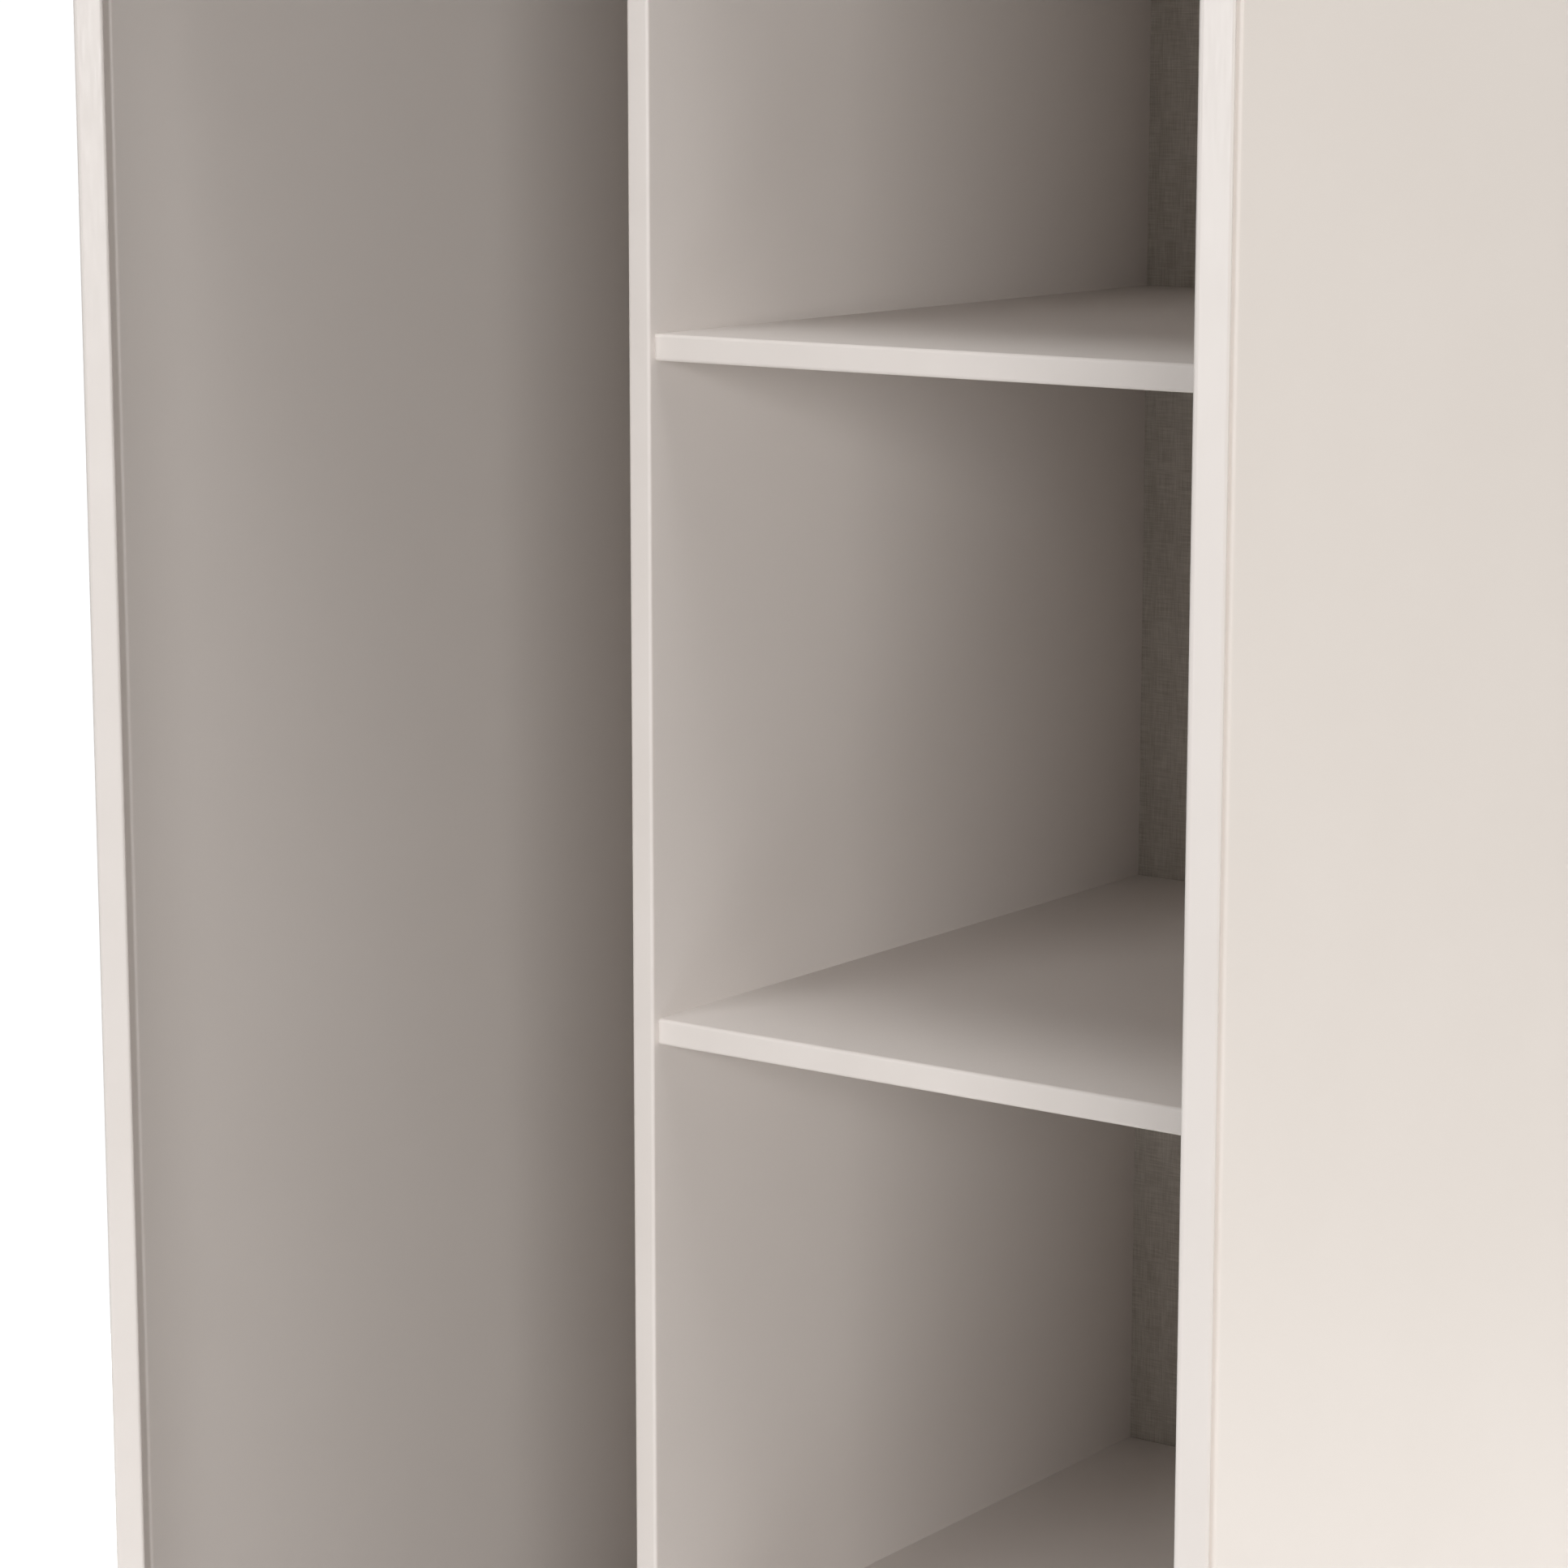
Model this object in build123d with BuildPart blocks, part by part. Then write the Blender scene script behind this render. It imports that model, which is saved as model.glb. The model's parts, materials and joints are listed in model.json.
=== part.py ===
"""Two-door wardrobe of melamine-faced board.

The carcass is two sides, a divider, a top, a bottom and two plinth boards. The left bay is for
hanging clothes, with a rail and a hat shelf, and the right bay holds four fixed shelves. Two doors
turn on pins at their top and bottom corners and are held by push latches under the top. It stands on
six glides and on a foot under the middle of the bottom.

Millimetres, +Z up. The origin is at floor level, in the middle of the carcass's footprint, with
+X to the right of someone facing the doors and +Y towards the back.
"""
import os
from math import cos, radians, sin

from build123d import *

# ---------------------------------------------------------------- overall size
WIDTH = 800.0
HEIGHT = 2000.0
INNER_DEPTH = 525.0
BOARD = 15.0
BACK_BOARD = 3.0
EDGING = 2.0
EDGE_ROUNDING = 1.9
EDGING_SEAM = 0.1

# ---------------------------------------------------------------- inside the carcass
RIGHT_BAY = 360.0
PLINTH_HEIGHT = 35.0
PLINTH_SETBACK = 30.0
SHELF_PITCH = 390.0
SHELF_COUNT = 4
SHELF_SETBACK = 5.0
SHELF_BACK_GAP = 1.0
GLIDE_HEIGHT = 3.0

# ---------------------------------------------------------------- doors, drawn standing open
DOOR_GAP = 3.5
DOORS_APART = 3.0
LEFT_DOOR_OPEN = 44.84
RIGHT_DOOR_OPEN = 120.67
PIN_RADIUS = 3.0
PIVOT_PLATE = 2.5
PIVOT_PLATE_WIDTH = 38.0
BUSH_RADIUS = 4.5
BUSH_LENGTH = 15.0
BUSH_FLANGE = 2.0
BUSH_FLANGE_RADIUS = 6.0
BUSH_CLEARANCE = 0.05
WASHER = 1.0
WASHER_PLAY = 0.2
WASHER_GAP = 0.1
TOP_PLAY = 1.0

# ---------------------------------------------------------------- fittings
CAM_RADIUS = 7.5
CAM_HEIGHT = 12.0
CAM_INSET = 24.0
BOLT_HOLE_RADIUS = 4.0
BOLT_THREAD_RADIUS = 2.5
BOLT_THREAD_LENGTH = 11.0
DOWEL_RADIUS = 4.0
DOWEL_IN_FACE = 10.0
DOWEL_IN_EDGE = 20.0
DOWEL_CHAMFER = 1.0
CAM_ROW_INSET = 40.0
HAT_CAM_ROW_INSET = 80.0
DOWEL_ROW_INSET = 72.0
RAIL_LENGTHWAYS = 30.0
RAIL_ACROSS = 15.0
RAIL_WALL = 1.2
RAIL_BELOW_SHELF = 60.0
LATCH_TRAVEL = 4.0
LATCH_WIDTH = 16.0
LATCH_HEIGHT = 14.0
LATCH_LENGTH = 70.0
LATCH_SETBACK = 8.0
LATCH_TIP_GAP = 0.3
PLUNGER_RADIUS = 4.0
PLUNGER_CLEARANCE = 0.1
STRIKE_THICKNESS = 1.0
BUMPER_HEIGHT = 3.3
WALL_HOLE_RADIUS = 3.5
WALL_HOLE_BELOW_TOP = 40.0
NAIL_RADIUS = 0.8
NAIL_HEAD_RADIUS = 1.9
NAIL_HEAD = 0.8
NAIL_LENGTH = 20.0

# ---------------------------------------------------------------- places worked out from these
X, Y, Z = Vector(1, 0, 0), Vector(0, 1, 0), Vector(0, 0, 1)
OUTER = WIDTH / 2
INNER = OUTER - BOARD
DIVIDER_RIGHT = INNER - RIGHT_BAY
DIVIDER_LEFT = DIVIDER_RIGHT - BOARD
DIVIDER_MIDDLE = (DIVIDER_LEFT + DIVIDER_RIGHT) / 2
FRONT = -(INNER_DEPTH + BACK_BOARD) / 2
BACK = FRONT + INNER_DEPTH
REAR = BACK + BACK_BOARD
CORE_FRONT = FRONT + EDGING
FLOOR_TOP = PLINTH_HEIGHT + BOARD
CEILING = HEIGHT - BOARD
SHELF_FRONT = FRONT + SHELF_SETBACK
SHELF_BACK = BACK - SHELF_BACK_GAP
SHELF_TOPS = [FLOOR_TOP + SHELF_PITCH * (i + 1) for i in range(SHELF_COUNT)]
RAIL_Z = SHELF_TOPS[-1] - BOARD - RAIL_BELOW_SHELF
RAIL_Y = (FRONT + BACK) / 2
PIVOT_X = OUTER - BOARD / 2
PIVOT_Y = FRONT - DOOR_GAP - BOARD / 2
DOOR_BOTTOM = PLINTH_HEIGHT + WASHER + WASHER_GAP + BUSH_FLANGE
DOOR_TOP = HEIGHT - PIVOT_PLATE - TOP_PLAY - BUSH_FLANGE
DOOR_REACH = PIVOT_X - DOORS_APART / 2
LATCH_Z = CEILING - LATCH_HEIGHT / 2
LATCH_X = {"left": -30.0, "right": 45.0}
LATCH_FRONT = FRONT + LATCH_SETBACK
PLUNGER_TIP = FRONT - DOOR_GAP + STRIKE_THICKNESS + LATCH_TIP_GAP
WALL_HOLE_X = (-190.0, 210.0)
WALL_HOLE_Z = HEIGHT - WALL_HOLE_BELOW_TOP

# Every hole in a board: board name -> list of (plane on the board's face, radius, depth).
HOLES = {}

TO_ABOVE = (Align.CENTER, Align.CENTER, Align.MIN)
TO_BELOW = (Align.CENTER, Align.CENTER, Align.MAX)


def facing(point, outward, across=None):
    """A plane at a point on a surface, with its z axis pointing out of the surface."""
    if across:
        return Plane(origin=point, x_dir=across, z_dir=outward)
    return Plane(origin=point, z_dir=outward)


def drill(board_name, point, outward, radius, depth):
    """Note a hole that starts at a point on a board's surface and goes in by its depth."""
    HOLES.setdefault(board_name, []).append((facing(point, outward), radius, depth))


def cut_holes(board_name):
    """Cut every hole noted for a board, inside that board's builder."""
    for plane, radius, depth in HOLES.get(board_name, []):
        with Locations(plane):
            Cylinder(radius, depth, align=TO_BELOW, mode=Mode.SUBTRACT)


def save(builder, name):
    """Label a finished sub-part and write its STEP file."""
    builder.part.label = name
    export_step(builder.part, f"parts/{name}.step")


def block(low, high, plane=Plane.XY):
    """Extrude a rectangular block between two corners of a plane's space, in the open builder."""
    with BuildSketch(plane.offset(low[2])) as outline:
        with Locations(((low[0] + high[0]) / 2, (low[1] + high[1]) / 2)):
            Rectangle(high[0] - low[0], high[1] - low[1])
    extrude(outline.sketch, amount=high[2] - low[2])


def board(name, low, high, plane=Plane.XY):
    """A board's core between two corners, with every hole noted for it."""
    with BuildPart() as core:
        block(low, high, plane)
        cut_holes(name)
    return core


def band(low, high, outward, plane=Plane.XY):
    """One edging strip, with its two long outer edges rounded."""
    along = max(range(3), key=lambda i: high[i] - low[i])
    long_axis = [plane.x_dir, plane.y_dir, plane.z_dir][along]
    with BuildPart() as strip:
        block(low, high, plane)
        long_edges = strip.edges().filter_by(Axis((0, 0, 0), long_axis))
        fillet(long_edges.group_by(Axis((0, 0, 0), outward))[-1], EDGE_ROUNDING)
    return strip.part


def strips(pieces, name):
    """Edging strips kept as separate solids of one sub-part, with every hole noted for them."""
    with BuildPart() as group:
        add(pieces)
        cut_holes(name)
    return group


# ---------------------------------------------------------------- where the boards are joined
CAMS, BOLTS, DOWELS = [], [], []


def cam_joint(point, towards, cam_side, cam_board, bolt_board):
    """A cam in one board pulls on a bolt in the face of another.

    point is where the boards meet, in the middle of the cam board's thickness; towards points into
    the bolt's board, and cam_side out of the face that the cam is pressed into.
    """
    cam_centre = point - towards * CAM_INSET + cam_side * (BOARD / 2)
    drill(cam_board, cam_centre, cam_side, CAM_RADIUS, CAM_HEIGHT)
    drill(cam_board, point, towards, BOLT_HOLE_RADIUS, CAM_INSET)
    drill(bolt_board, point, -towards, BOLT_THREAD_RADIUS, BOLT_THREAD_LENGTH)
    CAMS.append(facing(cam_centre, cam_side, towards))
    BOLTS.append(facing(point, towards))


def dowel_joint(point, towards, edge_board, face_board):
    """A dowel from one board's end into another's face."""
    drill(edge_board, point, towards, DOWEL_RADIUS, DOWEL_IN_EDGE)
    drill(face_board, point, -towards, DOWEL_RADIUS, DOWEL_IN_FACE)
    DOWELS.append(facing(point, towards))


CAM_ROWS = (FRONT + CAM_ROW_INSET, BACK - CAM_ROW_INSET)
HAT_CAM_ROWS = (FRONT + HAT_CAM_ROW_INSET, BACK - HAT_CAM_ROW_INSET)
DOWEL_ROWS = (FRONT + DOWEL_ROW_INSET, BACK - DOWEL_ROW_INSET)
SHELVES = [f"shelf_{i + 1}" for i in range(SHELF_COUNT)]
SHELF_SPANS = {name: (DIVIDER_RIGHT, INNER, top) for name, top in zip(SHELVES, SHELF_TOPS)}
SHELF_SPANS["hat_shelf"] = (-INNER, DIVIDER_LEFT, SHELF_TOPS[-1])

for shelf, (left, right, top) in SHELF_SPANS.items():
    rows = HAT_CAM_ROWS if shelf == "hat_shelf" else CAM_ROWS
    left_board, right_board = ("divider", "right_side")
    if shelf == "hat_shelf":
        left_board, right_board = ("left_side", "divider")
    for row in rows:
        cam_joint(Vector(left, row, top - BOARD / 2), -X, -Z, shelf, left_board)
        cam_joint(Vector(right, row, top - BOARD / 2), X, -Z, shelf, right_board)

for side, sign in (("left_side", -1), ("right_side", 1)):
    for row in CAM_ROWS:
        cam_joint(Vector(sign * INNER, row, FLOOR_TOP - BOARD / 2), X * sign, -Z, "bottom_panel", side)
        cam_joint(Vector(sign * PIVOT_X, row, CEILING), Z, X * -sign, side, "top_panel")
    for row in DOWEL_ROWS:
        dowel_joint(Vector(sign * INNER, row, FLOOR_TOP - BOARD / 2), X * sign, "bottom_panel", side)
        dowel_joint(Vector(sign * PIVOT_X, row, CEILING), Z, side, "top_panel")

PLINTH_ROWS = {
    "plinth_front": FRONT + PLINTH_SETBACK + BOARD / 2,
    "plinth_rear": BACK - PLINTH_SETBACK - BOARD / 2,
}
for plinth, row in PLINTH_ROWS.items():
    middle = (GLIDE_HEIGHT + PLINTH_HEIGHT) / 2
    dowel_joint(Vector(-INNER, row, middle), -X, plinth, "left_side")
    dowel_joint(Vector(INNER, row, middle), X, plinth, "right_side")

# Long screws through the top and bottom hold the divider.
CONFIRMAT_LENGTH = 50.0
CONFIRMAT_RADIUS = 3.0
CONFIRMAT_HEAD_RADIUS = 5.0
CONFIRMAT_HEAD = 4.0
CONFIRMAT_HEX = 2.3
CONFIRMAT_HEX_DEPTH = 2.5
CONFIRMATS = []
for panel, outside, outward in (("top_panel", HEIGHT, Z), ("bottom_panel", PLINTH_HEIGHT, -Z)):
    for row in CAM_ROWS:
        head = Vector(DIVIDER_MIDDLE, row, outside)
        drill(panel, head, outward, CONFIRMAT_RADIUS, BOARD)
        drill(panel, head, outward, CONFIRMAT_HEAD_RADIUS, CONFIRMAT_HEAD)
        drill("divider", head - outward * BOARD, outward, CONFIRMAT_RADIUS, CONFIRMAT_LENGTH - BOARD)
        CONFIRMATS.append(facing(head, outward))

# ---------------------------------------------------------------- small screws
SCREW_RADIUS = 1.75
SCREW_HEAD_RADIUS = 3.5
SCREW_HEAD = 1.8
SCREW_LENGTH = 12.0
RECESS_SPAN = 3.8
RECESS_WIDTH = 0.8
RECESS_DEPTH = 1.3


def screw_hole(board_name, head, outward, through):
    """Drill a board for a small screw whose head lies at a point, past a fitting's thickness."""
    drill(board_name, head - outward * through, outward, SCREW_RADIUS, SCREW_LENGTH - through)


def small_screw():
    """A countersunk screw, its head's face at the origin and its point down, with a cross recess."""
    with BuildPart() as screw:
        with BuildSketch(Plane.XZ):
            with BuildLine():
                Polyline(
                    (0, 0), (SCREW_HEAD_RADIUS, 0), (SCREW_RADIUS, -SCREW_HEAD),
                    (SCREW_RADIUS, SCREW_RADIUS - SCREW_LENGTH), (0, -SCREW_LENGTH), close=True,
                )
            make_face()
        revolve(axis=Axis.Z)
        with BuildSketch(Plane.XY):
            Rectangle(RECESS_SPAN, RECESS_WIDTH)
            Rectangle(RECESS_WIDTH, RECESS_SPAN)
        extrude(amount=-RECESS_DEPTH, mode=Mode.SUBTRACT)
    return screw.part


def countersink(head, outward):
    """Cut a small screw's countersink into the fitting in the open builder."""
    with Locations(facing(head, outward)):
        Cone(SCREW_RADIUS, SCREW_HEAD_RADIUS, SCREW_HEAD, align=TO_BELOW, mode=Mode.SUBTRACT)
        Cylinder(SCREW_RADIUS, BOARD, align=TO_BELOW, mode=Mode.SUBTRACT)


def copies(piece, planes):
    """Separate copies of one fastener, one at each plane."""
    with BuildPart() as group:
        with Locations(*planes):
            add(piece)
    return group


# ---------------------------------------------------------------- pivot plates
UPPER_PLATE_TAIL = FRONT + 42.0
LOWER_PLATE_TAIL = FRONT + PLINTH_SETBACK - 2.0
PLATE_NOSE = PIVOT_Y - 8.5
PLATE_CORNER = 4.0
UPPER_SCREW_INSET = (20.0, 14.0)
UPPER_SCREW_STEP = (10.0, 18.0)
LOWER_SCREW_INSET = (10.0, 9.0)
LOWER_SCREW_STEP = (18.0, 10.0)
TONGUE_SIDE_GAP = 1.0
TONGUE_FRONT_GAP = 2.0
TONGUE_TIP_INSET = 0.5
PIVOTS = {"left": -1, "right": 1}
PIVOT_SCREWS = []


def upper_plate_corners(sign):
    """Near and far corners of an upper plate's outline, mirrored for the left."""
    outer, inner = sign * (OUTER - EDGING), sign * (OUTER - EDGING - PIVOT_PLATE_WIDTH)
    return min(outer, inner), max(outer, inner)


def upper_plate_screws(sign):
    """Head positions of an upper plate's two screws."""
    inset, step = Vector(*UPPER_SCREW_INSET), Vector(*UPPER_SCREW_STEP)
    places = [inset + step * i for i in range(2)]
    return [Vector(sign * (OUTER - place.X), FRONT + place.Y, HEIGHT) for place in places]


def lower_plate_screws(sign):
    """Head positions of a lower plate's two screws, under the plate."""
    inset, step = Vector(*LOWER_SCREW_INSET), Vector(*LOWER_SCREW_STEP)
    under = PLINTH_HEIGHT - PIVOT_PLATE
    places = [inset + step * i for i in range(2)]
    return [Vector(sign * (INNER - place.X), FRONT + place.Y, under) for place in places]


for sign in PIVOTS.values():
    for head in upper_plate_screws(sign):
        screw_hole("top_panel", head, Z, PIVOT_PLATE)
        PIVOT_SCREWS.append(facing(head, Z))
    for head in lower_plate_screws(sign):
        screw_hole("bottom_panel", head, -Z, PIVOT_PLATE)
        PIVOT_SCREWS.append(facing(head, -Z))


def upper_pivot(sign):
    """A flat plate let into the top, reaching over the door's corner."""
    low, high = upper_plate_corners(sign)
    with BuildPart() as plate:
        with BuildSketch(Plane.XY.offset(HEIGHT - PIVOT_PLATE)):
            with Locations(((low + high) / 2, (PLATE_NOSE + UPPER_PLATE_TAIL) / 2)):
                Rectangle(high - low, UPPER_PLATE_TAIL - PLATE_NOSE)
        extrude(amount=PIVOT_PLATE)
        front_corners = plate.edges().filter_by(Axis.Z).group_by(Axis.Y)[0]
        fillet(front_corners, PLATE_CORNER)
        for head in upper_plate_screws(sign):
            countersink(head, Z)
        with Locations((sign * PIVOT_X, PIVOT_Y, HEIGHT)):
            Cylinder(PIN_RADIUS, PIVOT_PLATE, align=TO_BELOW, mode=Mode.SUBTRACT)
    return plate


def lower_pivot(sign):
    """An L-shaped plate under the bottom, with a tongue that passes in front of the side's edge."""
    root, inner = sign * (INNER - TONGUE_SIDE_GAP), sign * (INNER - PIVOT_PLATE_WIDTH)
    tip, tail, neck = sign * (OUTER - TONGUE_TIP_INSET), LOWER_PLATE_TAIL, FRONT - TONGUE_FRONT_GAP
    with BuildPart() as plate:
        with BuildSketch(Plane.XY.offset(PLINTH_HEIGHT - PIVOT_PLATE)):
            with BuildLine():
                Polyline((root, tail), (inner, tail), (inner, PLATE_NOSE), (tip, PLATE_NOSE),
                         (tip, neck), (root, neck), close=True)
            make_face()
        extrude(amount=PIVOT_PLATE)
        fillet(plate.edges().filter_by(Axis.Z).group_by(Axis.Y)[0], PLATE_CORNER)
        for head in lower_plate_screws(sign):
            countersink(head, -Z)
        with Locations((sign * PIVOT_X, PIVOT_Y, PLINTH_HEIGHT)):
            Cylinder(PIN_RADIUS, PIVOT_PLATE, align=TO_BELOW, mode=Mode.SUBTRACT)
    return plate


# ---------------------------------------------------------------- latches, rail, brackets, back
LATCH_EAR = 2.5
LATCH_EAR_INSET = 12.0
LATCH_EAR_WIDTH = 10.0
LATCH_EAR_REACH = 11.0
LATCH_SCREW_OFFSET = LATCH_WIDTH / 2 + 6.0
LATCH_EAR_ROWS = (LATCH_FRONT + LATCH_EAR_INSET, LATCH_FRONT + LATCH_LENGTH - LATCH_EAR_INSET)
LATCH_SCREWS = []
for x in LATCH_X.values():
    for row in LATCH_EAR_ROWS:
        for ear in (-1, 1):
            head = Vector(x + ear * LATCH_SCREW_OFFSET, row, CEILING - LATCH_EAR)
            screw_hole("top_panel", head, -Z, LATCH_EAR)
            LATCH_SCREWS.append(facing(head, -Z))

SOCKET_PLATE = 3.0
SOCKET_CUP = 12.0
SOCKET_WALL = 2.0
SOCKET_HEIGHT = 66.0
SOCKET_WIDTH = 24.0
SOCKET_SCREW_OFFSET = 26.0
SOCKET_ROUNDING = 0.8
SOCKET_SCREWS = []
for side, face, outward in (("left_side", -INNER, X), ("divider", DIVIDER_LEFT, -X)):
    for step in (-1, 1):
        head = Vector(face, RAIL_Y, RAIL_Z + step * SOCKET_SCREW_OFFSET) + outward * SOCKET_PLATE
        screw_hole(side, head, outward, SOCKET_PLATE)
        SOCKET_SCREWS.append(facing(head, outward))

BRACKET = 2.0
BRACKET_WIDTH = 34.0
BRACKET_LEG = 36.0
BRACKET_DROP = WALL_HOLE_BELOW_TOP - BOARD + 14.0
BRACKET_CORNER = 4.0
BRACKET_SCREW_OFFSET = 9.0
BRACKET_SCREW_ROW = BACK - 20.0
BRACKET_SCREWS = []
for x in WALL_HOLE_X:
    for step in (-1, 1):
        head = Vector(x + step * BRACKET_SCREW_OFFSET, BRACKET_SCREW_ROW, CEILING - BRACKET)
        screw_hole("top_panel", head, -Z, BRACKET)
        BRACKET_SCREWS.append(facing(head, -Z))

BACK_MARGIN = 2.0
BACK_GAP = 1.0
BACK_SPANS = {
    "back_left": (BACK_MARGIN - OUTER, DIVIDER_MIDDLE - BACK_GAP / 2),
    "back_right": (DIVIDER_MIDDLE + BACK_GAP / 2, OUTER - BACK_MARGIN),
}
BACK_BOTTOM, BACK_TOP = PLINTH_HEIGHT + BACK_MARGIN, HEIGHT - BACK_MARGIN
NAIL_INSET = 4.0
NAIL_END_GAP = 60.0
NAIL_ROWS = 8
NAIL_PITCH = (CEILING - FLOOR_TOP - 2 * NAIL_END_GAP) / (NAIL_ROWS - 1)
NAILS = []


def nail(board_name, back_name, x, z):
    """Note a nail driven forwards through the back into a board's rear edge."""
    head = Vector(x, REAR, z)
    drill(back_name, head, Y, NAIL_RADIUS, BACK_BOARD)
    drill(back_name, head, Y, NAIL_HEAD_RADIUS, NAIL_HEAD)
    drill(board_name, Vector(x, BACK, z), Y, NAIL_RADIUS, NAIL_LENGTH - BACK_BOARD)
    NAILS.append(facing(head, Y))


for name, (left, right) in BACK_SPANS.items():
    outer_board = "left_side" if name == "back_left" else "right_side"
    at_outer, at_divider = (left + NAIL_INSET, right - NAIL_INSET)
    if name == "back_right":
        at_outer, at_divider = (right - NAIL_INSET, left + NAIL_INSET)
    for i in range(NAIL_ROWS):
        z = FLOOR_TOP + NAIL_END_GAP + i * NAIL_PITCH
        nail(outer_board, name, at_outer, z)
        nail("divider", name, at_divider, z)
    for i in (1, 2):
        x = left + (right - left) * i / 3
        nail("top_panel", name, x, CEILING + BOARD / 2)
        nail("bottom_panel", name, x, PLINTH_HEIGHT + BOARD / 2)
for name, x in zip(BACK_SPANS, WALL_HOLE_X):
    drill(name, Vector(x, REAR, WALL_HOLE_Z), Y, WALL_HOLE_RADIUS, BACK_BOARD)

GLIDE_RADIUS = 7.0
GLIDE_ROUNDING = 1.0
GLIDE_SPIKE_RADIUS = 1.5
GLIDE_SPIKE = 12.0
GLIDE_INSET = 25.0
GLIDE_ROWS = (FRONT + GLIDE_INSET, BACK - GLIDE_INSET)
GLIDES = []
for sign, side in ((-1, "left_side"), (1, "right_side")):
    GLIDES += [(side, Vector(sign * PIVOT_X, row, GLIDE_HEIGHT)) for row in GLIDE_ROWS]
GLIDES += [(plinth, Vector(0, row, GLIDE_HEIGHT)) for plinth, row in PLINTH_ROWS.items()]
for name, foot in GLIDES:
    drill(name, foot, -Z, GLIDE_SPIKE_RADIUS, GLIDE_SPIKE)

# A foot at the origin carries the bottom, next to the divider's line.
FOOT_FLANGE_RADIUS = 24.0
FOOT_FLANGE = 4.0
FOOT_COLUMN_RADIUS = 10.0
FOOT_PAD_RADIUS = 18.0
FOOT_PAD = 5.0
FOOT_ROUNDING = 1.5
FOOT_SCREW_RING = 18.0
FOOT_SCREW_COUNT = 3
FOOT_SCREWS = []
for i in range(FOOT_SCREW_COUNT):
    head = Y.rotate(Axis.Z, i * 360 / FOOT_SCREW_COUNT) * FOOT_SCREW_RING + Z * (PLINTH_HEIGHT - FOOT_FLANGE)
    screw_hole("bottom_panel", head, -Z, FOOT_FLANGE)
    FOOT_SCREWS.append(facing(head, -Z))

# ---------------------------------------------------------------- door space and its holes
DOOR_DIRECTION = {"left": radians(-LEFT_DOOR_OPEN), "right": radians(180 + RIGHT_DOOR_OPEN)}
DOOR_PLANES = {
    hand: Plane(origin=(PIVOTS[hand] * PIVOT_X, PIVOT_Y, 0), x_dir=(cos(angle), sin(angle), 0))
    for hand, angle in DOOR_DIRECTION.items()
}
INWARD = {"left": 1, "right": -1}
STRIKE_RADIUS = 7.0
STUD_RADIUS = 1.5
STUD_LENGTH = 8.0
STRIKE_ROUNDING = 0.4
BUMPER_RADIUS = 4.0
BUMPER_ROUNDING = 1.2
BUMPER_REACH = DOOR_REACH - 13.0
BUMPER_INSET = 6.5
BUMPER_HEIGHTS = (DOOR_BOTTOM + BUMPER_INSET, DOOR_TOP - BUMPER_INSET)


def in_door(hand, along, inward, height):
    """A point given along a door's width, from its mid-plane towards its inner face, and up."""
    return DOOR_PLANES[hand].from_local_coords(Vector(along, INWARD[hand] * inward, height))


def inner_face(hand, along, height):
    """A plane on a door's inner face, with its z axis pointing into the wardrobe when shut."""
    return facing(in_door(hand, along, BOARD / 2, height), DOOR_PLANES[hand].y_dir * INWARD[hand])


def strike_place(hand):
    """Where a door's strike plate meets its latch."""
    return inner_face(hand, PIVOT_X - abs(LATCH_X[hand]), LATCH_Z)


for hand in PIVOTS:
    for height, outward in ((DOOR_BOTTOM, -Z), (DOOR_TOP, Z)):
        for piece in (f"{hand}_door", f"{hand}_door_edging"):
            drill(piece, in_door(hand, 0, 0, height), outward, BUSH_RADIUS, BUSH_LENGTH)
    place = strike_place(hand)
    drill(f"{hand}_door", place.origin, place.z_dir, STUD_RADIUS, STUD_LENGTH)

# ================================================================ carcass boards
os.makedirs("parts", exist_ok=True)

for name, sign in (("left_side", -1), ("right_side", 1)):
    low_x, high_x = sorted((sign * INNER, sign * OUTER))
    save(board(name, (low_x, CORE_FRONT, GLIDE_HEIGHT), (high_x, BACK, CEILING)), name)
    side_band = band((low_x, FRONT, GLIDE_HEIGHT), (high_x, CORE_FRONT, CEILING), -Y)
    save(strips([side_band], f"{name}_edging"), f"{name}_edging")

divider = board("divider", (DIVIDER_LEFT, CORE_FRONT, FLOOR_TOP), (DIVIDER_RIGHT, BACK, CEILING))
save(divider, "divider")
divider_band = band((DIVIDER_LEFT, FRONT, FLOOR_TOP), (DIVIDER_RIGHT, CORE_FRONT, CEILING), -Y)
save(strips([divider_band], "divider_edging"), "divider_edging")

with BuildPart() as top_panel:
    block((EDGING - OUTER, CORE_FRONT, CEILING), (OUTER - EDGING, BACK, HEIGHT))
    for sign in PIVOTS.values():
        low, high = upper_plate_corners(sign)
        with BuildSketch(Plane.XY.offset(HEIGHT - PIVOT_PLATE)):
            with Locations(((low + high) / 2, (CORE_FRONT + UPPER_PLATE_TAIL) / 2)):
                Rectangle(high - low, UPPER_PLATE_TAIL - CORE_FRONT)
        extrude(amount=PIVOT_PLATE, mode=Mode.SUBTRACT)
    cut_holes("top_panel")
save(top_panel, "top_panel")

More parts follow.
